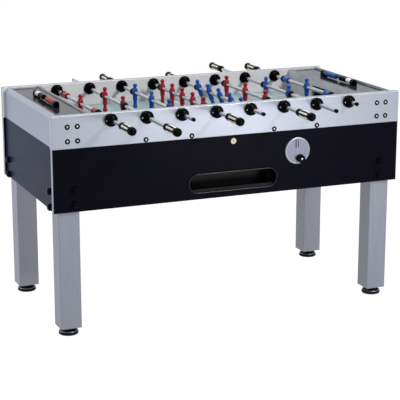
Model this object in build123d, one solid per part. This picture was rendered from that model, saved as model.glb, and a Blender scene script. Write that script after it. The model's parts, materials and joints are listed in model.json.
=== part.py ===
"""Foosball table with a lift-up playing top, eight sliding and turning rods and a coin release.

Units are millimetres. X runs along the table, Y from the front to the back, Z up from the floor.
Every size below is worked out from the driving dimensions, so the table keeps fitting together
when one of them changes.
"""
import os
from math import cos, radians, sin

from build123d import *

os.makedirs("parts", exist_ok=True)

# Driving dimensions: the playing top
ROD_COUNT = 8
TOP_LENGTH = 1534.0
TOP_WIDTH = 750.0
TOP_Z = 906.0
RAIL_HEIGHT = 130.0
RAIL_T = 30.0
END_RAIL_T = 22.0
RAIL_EDGE_R = 2.5
ROD_DROP = 28.0
FIELD_DROP = 72.0
FIELD_T = 18.0
WALL_T = 12.0
WALL_DROP = 4.0
GOAL_WIDTH = 220.0
GOAL_HEIGHT = 60.0
GOAL_R = 12.0
DECK_WIDTH = 123.0
DECK_T = 6.0
DECK_DROP = 8.0

# Driving dimensions: the cabinet, its legs and their bolts
CABINET_HEIGHT = 256.0
RAIL_OVERHANG = 2.0
LONG_PANEL_T = 20.0
END_PANEL_T = 16.0
END_RECESS = 8.0
FLOOR_T = 12.0
PANEL_EDGE_R = 3.0
LEG_SIZE = 88.0
LEG_WALL = 3.0
LEG_R = 4.0
LEG_CLEAR = 32.0
LEG_BELOW_RAIL = 60.0
LEG_PLUG = 12.0
FOOT_D = 80.0
FOOT_NECK_D = 48.0
FOOT_PAD_H = 13.0
STUD_D = 16.0
STUD_L = 38.0
BOLT_D = 10.0
BOLT_HEAD_D = 34.0
BOLT_HEAD_H = 9.0
BOLT_PAST = 14.0
BOLT_INSET = 15.0
BOLT_LOW = 30.0
BOLT_HIGH = 90.0
END_BOLT_LOW = 13.0
END_BOLT_HIGH = 77.0

# Driving dimensions: the rods and what they carry
ROD_D = 16.0
ROD_BORE = 11.0
BEARING_D = 53.0
BEARING_NECK_D = 30.0
BEARING_FLANGE = 4.0
BEARING_NOSE = 4.0
DOME_OUT = 24.0
DOME_IN = 14.0
MAN_FOOT = 68.0
MAN_HEAD = 39.0
MAN_HALF = 14.0
MAN_DEPTH = 11.5
MAN_BOSS_D = 25.0
HEAD_D = 18.0
NECK_D = 9.2
BUMPER_D = 30.0
BUMPER_L = 13.0
SLEEVE_D = 28.0
SLEEVE_L = 60.0
GRIP_L = 130.0
GRIP_D = 32.0
GRIP_NECK = 22.0
GRIP_POMMEL = 26.0
GRIP_EDGE = 4.0
GRIP_DOME = 12.0
FLUTE_COUNT = 6
FLUTE_W = 8.0
FLUTE_DEPTH = 3.0
FLUTE_MARGIN = 5.0
GRIP_SOLID = 20.0
ROD_PLUG_L = 12.0
ROD_PLUG_STEM = 18.0
TAIL_IN = 28.0

# Driving dimensions: the ball tray, the coin release and the lock on the front panel
TRAY_W = 400.0
TRAY_H = 84.0
TRAY_RISE = 66.0
TRAY_RIM = 3.0
TRAY_WALL = 3.0
TRAY_PROUD = 5.0
TRAY_DEPTH = 95.0
TRAY_ROOF = 50.0
TRAY_LIP_H = 12.0
TRAY_LIP_T = 8.0
BALL_HOLE_D = 44.0
BALL_HOLE_BACK = 68.0
COIN_BESIDE = 91.0
COIN_BELOW = 89.0
COIN_D = 114.0
COIN_T = 4.0
COIN_NECK_D = 92.0
SLOT_W = 3.2
SLOT_H = 28.0
SLOT_RISE = 29.0
SLOT_BOSS_W = 16.0
SLOT_BOSS_H = 38.0
SLOT_BOSS_T = 5.0
KNOB_BESIDE = 12.0
KNOB_BELOW = 33.0
KNOB_D = 34.0
KNOB_T = 18.0
KNOB_FLAT = 8.0
KNOB_BASE = 6.0
SHAFT_D = 10.0
HOUSING_HALF = 40.0
HOUSING_DEPTH = 45.0
HOUSING_LOW = 22.0
HOUSING_HIGH = 50.0
COIN_FALL = 24.0
COIN_BACK = 12.0
GUIDE_H = 5.0
LEVER_R = 36.0
LEVER_SWING = 60.0
LEVER_T = 5.0
LEVER_HUB_D = 18.0
LEVER_EYE_D = 12.0
PIN_R = 3.0
PIN_PLAY = 0.5
BAR_T = 4.0
BAR_HALF = 8.8
BAR_END = 22.0
ARM_W = 18.0
STOPPER_T = 4.0
STOPPER_OVER = 6.0
LOCK_BELOW = 25.0
LOCK_D = 24.0
LOCK_NECK_D = 19.0
LOCK_FACE = 3.0
LOCK_NUT_D = 26.0
LOCK_NUT_T = 5.0
PLUG_D = 12.0
KEYWAY_W = 1.6
KEYWAY_H = 7.0
CAM_R = 33.0
CAM_W = 12.0
CAM_T = 3.0

# Driving dimensions: score racks, hinges and the ball boards
RACK_L = 300.0
RACK_INSET = 64.0
RACK_RISE = 14.0
RACK_ROD_D = 6.0
BEAD_D = 22.0
BEAD_L = 21.0
BEAD_R = 2.0
BRACKET_L = 24.0
BRACKET_D = 24.0
TEAM_BEAD_COUNT = 5
DARK_BEAD_COUNT = 3
WHITE_BEAD_COUNT = 2
HINGE_INSET = 287.0
HINGE_L = 90.0
LEAF_T = 2.5
LEAF_H = 50.0
LEAF_FREE = 7.0
KNUCKLE_D = 10.0
HINGE_PIN_D = 5.0
CATCH_W = 14.0
CATCH_FOOT = 30.0
CHUTE_T = 6.0
CHUTE_DROP = 70.0
VALLEY_W = 84.0
VALLEY_RISE = 22.0

# Clearances
FIT = 0.05
GAP = 0.3
STOP_GAP = 1.0
GRIP_GAP = 20.0
BOARD_GAP = 4.0
VALLEY_GAP = 12.0
PAST = 1.0

# Faces and levels that several pieces share
RAIL_BOTTOM = TOP_Z - RAIL_HEIGHT
CABINET_BOTTOM = RAIL_BOTTOM - CABINET_HEIGHT
ROD_Z = TOP_Z - ROD_DROP
FIELD_Z = ROD_Z - FIELD_DROP
FIELD_BOTTOM = FIELD_Z - FIELD_T
DECK_Z = TOP_Z - DECK_DROP
RAIL_OUT = TOP_WIDTH / 2
RAIL_IN = RAIL_OUT - RAIL_T
PANEL_LENGTH = TOP_LENGTH - 2 * RAIL_OVERHANG
PANEL_OUT = RAIL_OUT - RAIL_OVERHANG
PANEL_IN = PANEL_OUT - LONG_PANEL_T
END_OUT = PANEL_LENGTH / 2 - END_RECESS
END_IN = END_OUT - END_PANEL_T
DECK_OUT = END_OUT - END_RAIL_T
DECK_IN = DECK_OUT - DECK_WIDTH
FIELD_X = DECK_IN - WALL_T
ROD_PITCH = 2 * FIELD_X / ROD_COUNT
LEG_X = END_IN - LEG_SIZE / 2
LEG_Y = PANEL_IN - LEG_SIZE / 2
LEG_TOP = RAIL_BOTTOM - LEG_BELOW_RAIL
BOLT_X = LEG_X - BOLT_INSET
BOLT_Z = (CABINET_BOTTOM + BOLT_LOW, CABINET_BOTTOM + BOLT_HIGH)
END_BOLT_Z = (CABINET_BOTTOM + END_BOLT_LOW, CABINET_BOTTOM + END_BOLT_HIGH)
DOME_APEX = RAIL_OUT + DOME_OUT
STOP_FACE = RAIL_IN - DOME_IN
TRAY_Z = CABINET_BOTTOM + TRAY_RISE
TRAY_OPEN_W = TRAY_W - 2 * TRAY_RIM - 2 * TRAY_WALL
TRAY_OPEN_H = TRAY_H - 2 * TRAY_RIM - 2 * TRAY_WALL
TRAY_FLOOR = TRAY_Z - TRAY_OPEN_H / 2
BALL_HOLE_Y = -PANEL_OUT + BALL_HOLE_BACK
BALL_HOLE_Z = TRAY_FLOOR + BALL_HOLE_D / 2 + PAST
STOPPER_X = TRAY_W / 2 - TRAY_RIM + GAP
COIN_X = TRAY_W / 2 + COIN_BESIDE
COIN_Z = RAIL_BOTTOM - COIN_BELOW
COIN_FACE = -PANEL_OUT - COIN_T
KNOB_X = COIN_X + KNOB_BESIDE
KNOB_Z = COIN_Z - KNOB_BELOW
HOUSING_BACK = -PANEL_IN + HOUSING_DEPTH
BAR_BACK = HOUSING_BACK + BAR_T
BAR_LEFT = STOPPER_X + STOPPER_T
BAR_TRAVEL = 2 * LEVER_R * sin(radians(LEVER_SWING / 2))
GUIDE_LEFT = BAR_LEFT + ARM_W + BAR_TRAVEL + BOARD_GAP
BAR_Z = KNOB_Z + LEVER_R * (1 + cos(radians(LEVER_SWING / 2))) / 2
LOCK_Z = RAIL_BOTTOM - LOCK_BELOW
CAM_BACK = -PANEL_IN + LOCK_NUT_T + BOARD_GAP + CAM_T
RACK_X = DECK_IN + RACK_INSET
BEAD_Z = DECK_Z + RACK_RISE
HINGE_X = TOP_LENGTH / 2 - HINGE_INSET
HINGE_Y = RAIL_OUT + KNUCKLE_D / 2 + 2 * GAP
CHUTE_HIGH = RAIL_BOTTOM - CHUTE_DROP
CHUTE_Y = PANEL_IN - LEG_SIZE - BOARD_GAP
VALLEY_Z = CABINET_BOTTOM + VALLEY_RISE
VALLEY_LEFT = STOPPER_X + VALLEY_GAP
VALLEY_RIGHT = VALLEY_LEFT + VALLEY_W

# Places of the men along a rod, spread over the width of the field
TWO_AT = 0.335 * RAIL_IN
THREE_AT = 0.588 * RAIL_IN
FIVE_AT = 0.339 * RAIL_IN
SLEEVE_AT = 0.6 * RAIL_IN
GOALIE = [0.0]
TWO = [-TWO_AT, TWO_AT]
THREE = [-THREE_AT, 0.0, THREE_AT]
FIVE = [FIVE_AT * step for step in (-2, -1, 0, 1, 2)]

# One entry a rod, from the left: team, men, handle side (-1 is the front), share of its travel that
# the rod is slid towards the back, and how far it is turned in degrees, as photographed
RODS = [
    ("red", GOALIE, -1, 0.106, 0.0),
    ("red", TWO, -1, 0.107, 0.0),
    ("blue", THREE, 1, -0.31, 0.0),
    ("red", FIVE, -1, -0.043, 0.0),
    ("blue", FIVE, 1, -0.942, -22.0),
    ("red", THREE, -1, 0.09, 0.0),
    ("blue", TWO, 1, 0.011, 0.0),
    ("blue", GOALIE, 1, 0.128, 0.0),
]

# A man's outlines from the neck down to the sole: half sizes and heights as shares of the largest;
# the side outline runs a little past the front one at both ends, so that the front one cuts it
MAN_FRONT = [
    (0.36, 0.32), (0.90, 0.27), (0.99, 0.15), (0.86, -0.09), (0.70, -0.24), (0.80, -0.38),
    (0.58, -0.63), (0.56, -0.76), (0.76, -0.86), (0.78, -0.95), (0.64, -1.0),
]
MAN_SIDE = [
    (0.43, 0.35), (0.96, 0.15), (0.92, -0.12), (0.78, -0.29), (0.82, -0.44), (0.57, -0.68),
    (0.70, -0.81), (0.95, -0.91), (0.74, -1.03),
]


def block(x0, x1, y0, y1, z0, z1):
    """A plain board between six faces."""
    size = (x1 - x0, y1 - y0, z1 - z0)
    return Pos((x0 + x1) / 2, (y0 + y1) / 2, (z0 + z1) / 2) * Box(*size)


def bar_x(y, z, diameter, x0, x1):
    """A round bar along X."""
    return Pos((x0 + x1) / 2, y, z) * Rot(0, 90, 0) * Cylinder(diameter / 2, x1 - x0)


def bar_y(x, z, diameter, y0, y1):
    """A round bar along Y."""
    return Pos(x, (y0 + y1) / 2, z) * Rot(90, 0, 0) * Cylinder(diameter / 2, y1 - y0)


def bar_z(x, y, diameter, z0, z1):
    """A round bar along Z."""
    return Pos(x, y, (z0 + z1) / 2) * Cylinder(diameter / 2, z1 - z0)


def face_of(*curves):
    """A face inside a closed run of curves."""
    return make_face([edge for curve in curves for edge in curve.edges()])


def stadium(width, height, y0, y1, z):
    """A slot with round ends, seen from the front, between two depths."""
    face = Plane.XZ * SlotOverall(width, height)
    return Pos(0, y0, z) * extrude(face, y1 - y0, dir=(0, 1, 0))


def half_turn(shape):
    """The same piece at the other end of the table."""
    return Rot(0, 0, 180) * shape


def save(name, pieces):
    """Write one node: a single solid, or a group of separate ones."""
    group = pieces if isinstance(pieces, list) else [pieces]
    solids = [solid for piece in group for solid in piece.solids()]
    shape = solids[0] if len(solids) == 1 else Compound(children=solids)
    shape.label = name
    export_step(shape, f"parts/{name}.step")


def rod_x(index):
    return (index - (ROD_COUNT - 1) / 2) * ROD_PITCH


def stop_reach(men):
    """How far the outer stop of a rod reaches from the middle of its men."""
    if men == GOALIE:
        return SLEEVE_AT + SLEEVE_L / 2
    return max(men) + MAN_HALF + STOP_GAP + BUMPER_L


def rod_travel(men):
    """Slide each way from the middle before a stop meets the bearing."""
    return STOP_FACE - stop_reach(men)


def silhouette(points, half):
    """A man's symmetric outline from its right-hand points."""
    right = [(share * half, height * MAN_FOOT) for share, height in points]
    top, sole = right[0], right[-1]
    curve = Spline(right)
    return face_of(
        curve,
        Line(sole, (-sole[0], sole[1])),
        mirror(curve, Plane.YZ),
        Line((-top[0], top[1]), top),
    )


def man():
    """One player about the rod axis: where its front and side outlines cross, with head and boss."""
    seen_along_x = Plane.YZ * extrude(silhouette(MAN_FRONT, MAN_HALF), 2 * MAN_HALF, both=True)
    seen_along_y = Plane.XZ * extrude(silhouette(MAN_SIDE, MAN_DEPTH), 2 * MAN_HALF, both=True)
    shoulders = MAN_FRONT[0][1] * MAN_FOOT
    head_z = MAN_HEAD - HEAD_D / 2
    head = Pos(0, 0, head_z) * Sphere(HEAD_D / 2) + bar_z(0, 0, NECK_D, shoulders - PAST, head_z)
    boss = bar_y(0, 0, MAN_BOSS_D, -MAN_HALF, MAN_HALF)
    bore = bar_y(0, 0, ROD_D + 2 * FIT, -2 * MAN_HALF, 2 * MAN_HALF)
    return (seen_along_x & seen_along_y) + head + boss - bore


def ring(diameter, length, edge):
    """A rounded sleeve on the rod, its middle at the origin."""
    body = fillet(bar_y(0, 0, diameter, -length / 2, length / 2).edges(), edge)
    return body - bar_y(0, 0, ROD_D + 2 * FIT, -length, length)


def grip(start):
    """The handle at the front end of a rod: collar, swelling fluted barrel and domed pommel."""
    y0 = -start
    y1 = y0 - GRIP_L
    neck = y0 - GRIP_NECK
    tail = y1 + GRIP_POMMEL
    r = GRIP_D / 2
    waist = r - GRIP_EDGE / 2
    throat = r - GRIP_EDGE
    collar = r - GRIP_EDGE / 4
    pommel = r + GRIP_EDGE / 4
    dome = y1 + GRIP_DOME
    front = Polyline([
        (0, y0), (throat, y0), (collar, y0 - GRIP_EDGE), (collar, neck + GRIP_EDGE),
        (throat, neck + GRIP_EDGE / 2), (waist, neck),
    ])
    barrel = ThreePointArc((waist, neck), (r, (neck + tail) / 2), (waist, tail))
    shoulder = Polyline([(waist, tail), (pommel, tail - GRIP_EDGE), (pommel, dome)])
    crown = ThreePointArc((pommel, dome), (0.76 * pommel, y1 + 0.24 * GRIP_DOME), (0.3 * pommel, y1))
    axis = Polyline([(0.3 * pommel, y1), (0, y1), (0, y0)])
    body = revolve(face_of(front, barrel, shoulder, crown, axis), Axis.Y)
    half = FLUTE_W / 2
    flute = block(-half, half, tail + FLUTE_MARGIN, neck - FLUTE_MARGIN, r - FLUTE_DEPTH, 2 * r)
    for step in range(FLUTE_COUNT):
        body -= Rot(0, 360 * step / FLUTE_COUNT, 0) * flute
    return body - bar_y(0, 0, ROD_D + 2 * FIT, y1 + GRIP_SOLID, y0 + PAST)


def end_plug(start):
    """The plug in the plain end of a rod, no thicker than the rod, so it can draw into the bearing."""
    head = bar_y(0, 0, ROD_D, start, start + ROD_PLUG_L)
    head = fillet(head.faces().sort_by(Axis.Y)[-1].edges(), ROD_D / 8)
    return head + bar_y(0, 0, ROD_BORE - 2 * FIT, start - ROD_PLUG_STEM, start + PAST)


def goalie_fittings():
    """Two coloured sleeves, and the places of the stops beyond them."""
    length = SLEEVE_L - BUMPER_L - GAP
    middle = SLEEVE_AT - (BUMPER_L + GAP) / 2
    sleeve = ring(SLEEVE_D, length, SLEEVE_D / 14)
    return [Pos(0, side * middle, 0) * sleeve for side in (-1, 1)]


def build_rods():
    """Eight rods with their men, stops and handles, each at its photographed place."""
    player = man()
    bumper = ring(BUMPER_D, BUMPER_L, BUMPER_D / 10)
    for index, (team, men, side, slid, turned) in enumerate(RODS):
        travel = rod_travel(men)
        grip_start = DOME_APEX + travel + GRIP_GAP
        near = -(grip_start + GRIP_L - GRIP_SOLID)
        far = DOME_APEX + travel - TAIL_IN - ROD_PLUG_L
        tube = bar_y(0, 0, ROD_D, near, far) - bar_y(0, 0, ROD_BORE, near - PAST, far + PAST)
        stop = stop_reach(men) - BUMPER_L / 2
        sleeves = goalie_fittings() if men == GOALIE else []
        place = Pos(rod_x(index), slid * travel, ROD_Z) * Rot(0, turned, 0)
        facing = place * Rot(0, 0, 180 if side > 0 else 0)
        name = f"rod_{index + 1}"
        save(f"{name}_tube", facing * tube)
        players = [Pos(0, y, 0) * player for y in men]
        save(f"{name}_{team}_men", [place * piece for piece in players + sleeves])
        save(f"{name}_handle", [facing * grip(grip_start), facing * end_plug(far)])
        save(f"{name}_bumpers", [place * Pos(0, end * stop, 0) * bumper for end in (-1, 1)])


def bearing_half(reach):
    """A domed bearing half: its flange lies on the rail face at y = 0 and the dome points to -Y."""
    r = BEARING_D / 2
    bore = ROD_D / 2 + FIT
    nose = bore + BEARING_NOSE
    neck = BEARING_NECK_D / 2 - GAP
    depth = RAIL_T / 2
    dome = ThreePointArc(
        (r, -BEARING_FLANGE),
        (nose + (r - nose) * 0.72, -BEARING_FLANGE - (reach - BEARING_FLANGE) * 0.70),
        (nose, -reach),
    )
    rest = Polyline([
        (nose, -reach), (bore, -reach), (bore, depth), (neck, depth), (neck, 0), (r, 0), (r, -BEARING_FLANGE),
    ])
    return revolve(face_of(dome, rest), Axis.Y)


def build_bearings():
    """A domed half outside and another inside at each end of every rod."""
    outside = bearing_half(DOME_OUT)
    inside = half_turn(bearing_half(DOME_IN))
    halves = []
    for index in range(ROD_COUNT):
        halves.append(Pos(rod_x(index), -RAIL_OUT, ROD_Z) * outside)
        halves.append(Pos(rod_x(index), -RAIL_IN, ROD_Z) * inside)
    save("rod_bearings", halves + [half_turn(half) for half in halves])


def side_rail():
    """The front rail with its bearing holes; the rear one is the same piece turned round."""
    x = TOP_LENGTH / 2
    rail = block(-x, x, -RAIL_OUT, -RAIL_IN, RAIL_BOTTOM, TOP_Z)
    rail = fillet(rail.edges().filter_by(Axis.Z), PANEL_EDGE_R)
    rail = fillet(rail.faces().sort_by(Axis.Z)[-1].edges(), RAIL_EDGE_R)
    for index in range(ROD_COUNT):
        rail -= bar_y(rod_x(index), ROD_Z, BEARING_NECK_D, -RAIL_OUT - PAST, -RAIL_IN + PAST)
    return rail


def end_rail():
    """The rail across the left end, set back between the side rails."""
    rail = block(-END_OUT, -DECK_OUT, -RAIL_IN, RAIL_IN, RAIL_BOTTOM, TOP_Z)
    return fillet(rail.faces().sort_by(Axis.Z)[-1].edges().filter_by(Axis.Y), RAIL_EDGE_R)


def end_wall():
    """The wall behind the left goal line, with the goal mouth."""
    wall = block(-DECK_IN, -FIELD_X, -RAIL_IN, RAIL_IN, FIELD_Z, TOP_Z - WALL_DROP)
    half = GOAL_WIDTH / 2
    mouth = block(-DECK_IN - PAST, -FIELD_X + PAST, -half, half, FIELD_Z, FIELD_Z + GOAL_HEIGHT)
    return wall - fillet(mouth.edges().filter_by(Axis.X).group_by(Axis.Z)[-1], GOAL_R)


def end_deck():
    """The plate between the left end wall and the end rail."""
    return block(-DECK_OUT, -DECK_IN, -RAIL_IN, RAIL_IN, DECK_Z - DECK_T, DECK_Z)


def build_top():
    """Frame, field and ends of the lift-up playing top."""
    pairs = {
        "side_rails": side_rail(),
        "end_rails": end_rail(),
        "end_walls": end_wall(),
        "end_decks": end_deck(),
    }
    for name, piece in pairs.items():
        save(name, [piece, half_turn(piece)])
    save("playfield", block(-DECK_IN, DECK_IN, -RAIL_IN, RAIL_IN, FIELD_BOTTOM, FIELD_Z))


def bead_row(start, count):
    """Beads side by side on the left rack's rod."""
    bead = fillet(bar_y(0, 0, BEAD_D, GAP, BEAD_L - GAP).edges(), BEAD_R)
    bead -= bar_y(0, 0, RACK_ROD_D + 2 * FIT, -PAST, BEAD_L + PAST)
    return [Pos(-RACK_X, start + number * BEAD_L, BEAD_Z) * bead for number in range(count)]


def rack_bracket(y0, y1):
    """The round-topped end bracket of the left rack, standing on the deck."""
    foot = block(-RACK_X - BRACKET_D / 2, -RACK_X + BRACKET_D / 2, y0, y1, DECK_Z, BEAD_Z)
    return bar_y(-RACK_X, BEAD_Z, BRACKET_D, y0, y1) + foot


def build_score():
    """A rack of beads on each end deck: the team's beads slide, the others are parked at the end."""
    end = RACK_L / 2
    back = end - BRACKET_L
    rack = bar_y(-RACK_X, BEAD_Z, RACK_ROD_D, -end + PAST, end - PAST)
    rack += rack_bracket(-end, -back)
    rack += rack_bracket(back, end)
    white_start = back - WHITE_BEAD_COUNT * BEAD_L
    white = bead_row(white_start, WHITE_BEAD_COUNT)
    dark = bead_row(white_start - DARK_BEAD_COUNT * BEAD_L, DARK_BEAD_COUNT)
    team = bead_row(-back, TEAM_BEAD_COUNT)
    black = [rack] + dark
    save("score_racks", black + [half_turn(piece) for piece in black])
    save("white_score_beads", white + [half_turn(bead) for bead in white])
    save("red_score_beads", team)
    save("blue_score_beads", [half_turn(bead) for bead in team])


def long_panel():
    """A blank cabinet side, as seen at the front, with its leg bolt holes."""
    x = PANEL_LENGTH / 2
    panel = block(-x, x, -PANEL_OUT, -PANEL_IN, CABINET_BOTTOM, RAIL_BOTTOM)
    panel = fillet(panel.edges().filter_by(Axis.Z).group_by(Axis.Y)[0], PANEL_EDGE_R)
    for bolt_x in (-BOLT_X, BOLT_X):
        for z in BOLT_Z:
            panel -= bar_y(bolt_x, z, BOLT_D + 2 * GAP, -PANEL_OUT - PAST, -PANEL_IN + PAST)
    return panel


def end_panel():
    """The cabinet's left end, set back between the long panels."""
    panel = block(-END_OUT, -END_IN, -PANEL_IN, PANEL_IN, CABINET_BOTTOM, RAIL_BOTTOM)
    for y in (-LEG_Y, LEG_Y):
        for z in END_BOLT_Z:
            panel -= bar_x(y, z, BOLT_D + 2 * GAP, -END_OUT - PAST, -END_IN + PAST)
    return panel


def build_panels():
    """The four sides of the cabinet."""
    blank = long_panel()
    outside, inside = -PANEL_OUT - PAST, -PANEL_IN + PAST
    cut_w = TRAY_W - 2 * TRAY_RIM + 2 * GAP
    cut_h = TRAY_H - 2 * TRAY_RIM + 2 * GAP
    front = blank - stadium(cut_w, cut_h, outside, inside, TRAY_Z)
    front -= bar_y(COIN_X, COIN_Z, COIN_NECK_D + 2 * GAP, outside, inside)
    front -= bar_y(0, LOCK_Z, LOCK_NECK_D + 2 * GAP, outside, inside)
    save("front_panel", front)
    save("rear_panel", half_turn(blank))
    end = end_panel()
    save("end_panels", [end, half_turn(end)])


def leg(side_x, side_y):
    """A square steel tube leg with a plug at its foot for the levelling stud."""
    x, y, half = side_x * LEG_X, side_y * LEG_Y, LEG_SIZE / 2
    tube = block(x - half, x + half, y - half, y + half, LEG_CLEAR, LEG_TOP)
    tube = fillet(tube.edges().filter_by(Axis.Z), LEG_R)
    inner = half - LEG_WALL
    tube -= block(x - inner, x + inner, y - inner, y + inner, LEG_CLEAR + LEG_PLUG, LEG_TOP + PAST)
    tube -= bar_z(x, y, STUD_D + 2 * FIT, LEG_CLEAR - PAST, LEG_CLEAR + LEG_PLUG + PAST)
    for z in BOLT_Z:
        tube -= bar_y(side_x * BOLT_X, z, BOLT_D + 2 * GAP, *sorted((y, side_y * PANEL_OUT)))
    for z in END_BOLT_Z:
        tube -= bar_x(y, z, BOLT_D + 2 * GAP, *sorted((x, side_x * END_OUT)))
    return tube


def foot(x, y):
    """A levelling foot: round pad, neck and the stud that screws into the leg."""
    r = FOOT_D / 2
    edge = FOOT_D / 40
    stud_top = LEG_CLEAR + STUD_L
    sole = Polyline([(0, 0), (r - edge, 0), (r, edge), (r, FOOT_PAD_H - 2 * edge)])
    crown = ThreePointArc(
        (r, FOOT_PAD_H - 2 * edge), (r - edge, FOOT_PAD_H), (FOOT_NECK_D / 2, FOOT_PAD_H + 2 * edge)
    )
    stem = Polyline([
        (FOOT_NECK_D / 2, FOOT_PAD_H + 2 * edge), (FOOT_NECK_D / 2, LEG_CLEAR), (STUD_D / 2, LEG_CLEAR),
        (STUD_D / 2, stud_top), (0, stud_top), (0, 0),
    ])
    return Pos(x, y, 0) * revolve(Plane.XZ * face_of(sole, crown, stem), Axis.Z)


def bolt():
    """A domed leg bolt pointing to +Y, its head on the panel face at y = 0."""
    r = BOLT_HEAD_D / 2
    length = LONG_PANEL_T + LEG_WALL + BOLT_PAST
    dome = ThreePointArc((0, -BOLT_HEAD_H), (0.66 * r, -0.68 * BOLT_HEAD_H), (r, 0))
    shank = Polyline([(r, 0), (BOLT_D / 2, 0), (BOLT_D / 2, length), (0, length), (0, -BOLT_HEAD_H)])
    return revolve(face_of(dome, shank), Axis.Y)


def build_legs():
    """Four legs, their levelling feet and the bolts that hold them."""
    corners = {"front_left": (-1, -1), "front_right": (1, -1), "rear_left": (-1, 1), "rear_right": (1, 1)}
    save("legs", [leg(*sides) for sides in corners.values()])
    pin = bolt()
    bolts = []
    for name, (sx, sy) in corners.items():
        save(f"{name}_foot", foot(sx * LEG_X, sy * LEG_Y))
        for z in BOLT_Z:
            bolts.append(Pos(sx * BOLT_X, sy * PANEL_OUT, z) * Rot(0, 0, 0 if sy < 0 else 180) * pin)
        for z in END_BOLT_Z:
            bolts.append(Pos(sx * END_OUT, sy * LEG_Y, z) * Rot(0, 0, 90 * sx) * pin)
    save("leg_bolts", bolts)


def ball_tray():
    """The moulded ball tray in the front panel: rim, sloping roof, raised lip and a ball hole."""
    face = -PANEL_OUT
    back = face + TRAY_DEPTH
    rim = stadium(TRAY_W, TRAY_H, face - TRAY_PROUD, face, TRAY_Z)
    rim = fillet(rim.faces().sort_by(Axis.Y)[0].edges(), TRAY_PROUD / 2)
    shell = stadium(TRAY_OPEN_W + 2 * TRAY_WALL, TRAY_OPEN_H + 2 * TRAY_WALL, face, back, TRAY_Z)
    hollow = stadium(TRAY_OPEN_W, TRAY_OPEN_H, face - TRAY_PROUD - PAST, back - TRAY_WALL, TRAY_Z)
    top = TRAY_Z + TRAY_H / 2
    half = TRAY_W / 2
    lip = face + TRAY_LIP_T
    roof = make_face(Polyline([(lip, top), (back, top), (back, TRAY_FLOOR + TRAY_ROOF)], close=True))
    hollow -= extrude(Plane.YZ * roof, half, both=True)
    hollow -= block(-half, half, face, lip, TRAY_FLOOR - TRAY_LIP_H, TRAY_FLOOR + TRAY_LIP_H)
    hole = bar_x(BALL_HOLE_Y, BALL_HOLE_Z, BALL_HOLE_D, TRAY_OPEN_W / 2 - BALL_HOLE_D, TRAY_W / 2)
    return rim + shell - hollow - hole


def coin_mechanism():
    """Round coin plate, its neck through the panel and the housing that guides the release bar."""
    plate = bar_y(COIN_X, COIN_Z, COIN_D, COIN_FACE, -PANEL_OUT)
    plate = fillet(plate.faces().sort_by(Axis.Y)[0].edges(), COIN_T / 2)
    slot_z = COIN_Z + SLOT_RISE
    boss = block(
        COIN_X - SLOT_BOSS_W / 2, COIN_X + SLOT_BOSS_W / 2, COIN_FACE - SLOT_BOSS_T, COIN_FACE,
        slot_z - SLOT_BOSS_H / 2, slot_z + SLOT_BOSS_H / 2,
    )
    boss = fillet(boss.edges().filter_by(Axis.Y), SLOT_BOSS_W / 3)
    left, right = COIN_X - HOUSING_HALF, COIN_X + HOUSING_HALF
    housing = block(left, right, -PANEL_IN, HOUSING_BACK, KNOB_Z - HOUSING_LOW, COIN_Z + HOUSING_HIGH)
    body = plate + boss + bar_y(COIN_X, COIN_Z, COIN_NECK_D, -PANEL_OUT, -PANEL_IN) + housing
    for low in (BAR_Z - BAR_HALF - GAP - GUIDE_H, BAR_Z + BAR_HALF + GAP):
        body += block(GUIDE_LEFT, right, HOUSING_BACK, BAR_BACK, low, low + GUIDE_H)
    slot_left, slot_right = COIN_X - SLOT_W / 2, COIN_X + SLOT_W / 2
    slot_back = HOUSING_BACK - COIN_BACK
    slot_top = slot_z + SLOT_H / 2
    body -= block(slot_left, slot_right, COIN_FACE - COIN_D, slot_back, slot_z - SLOT_H / 2, slot_top)
    body -= block(slot_left, slot_right, slot_back - COIN_FALL, slot_back, KNOB_Z - COIN_D, slot_top)
    return body - bar_y(KNOB_X, KNOB_Z, SHAFT_D + 2 * FIT, COIN_FACE - PAST, HOUSING_BACK + PAST)


def pin_place(turned):
    """Where the lever's pin stands after the knob has turned, in X and Z."""
    angle = radians(turned - LEVER_SWING / 2)
    return KNOB_X + LEVER_R * sin(angle), KNOB_Z + LEVER_R * cos(angle)


def coin_knob():
    """Knob with a flat thumb side, its shaft, lever and the pin that works the release bar."""
    face = COIN_FACE - GAP
    lever_y = BAR_BACK + GAP
    lever_end = lever_y + LEVER_T
    knob = bar_y(KNOB_X, KNOB_Z, KNOB_D, face - KNOB_T, face)
    knob -= block(
        KNOB_X - KNOB_D, KNOB_X + KNOB_D, face - 2 * KNOB_T, face - KNOB_BASE,
        KNOB_Z + KNOB_FLAT, KNOB_Z + KNOB_D,
    )
    knob = fillet(knob.faces().sort_by(Axis.Y)[0].edges(), KNOB_T / 6)
    shaft = bar_y(KNOB_X, KNOB_Z, SHAFT_D, face - PAST, lever_end)
    pin_x, pin_z = pin_place(0)
    lever = bar_y(KNOB_X, KNOB_Z, LEVER_HUB_D, lever_y, lever_end)
    lever += bar_y(pin_x, pin_z, LEVER_EYE_D, lever_y, lever_end)
    web = block(-LEVER_HUB_D / 4, LEVER_HUB_D / 4, lever_y, lever_end, 0, LEVER_R)
    lever += Pos(KNOB_X, 0, KNOB_Z) * Rot(0, -LEVER_SWING / 2, 0) * web
    return knob + shaft + lever + bar_y(pin_x, pin_z, 2 * PIN_R, HOUSING_BACK + GAP, lever_y + PAST)


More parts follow.
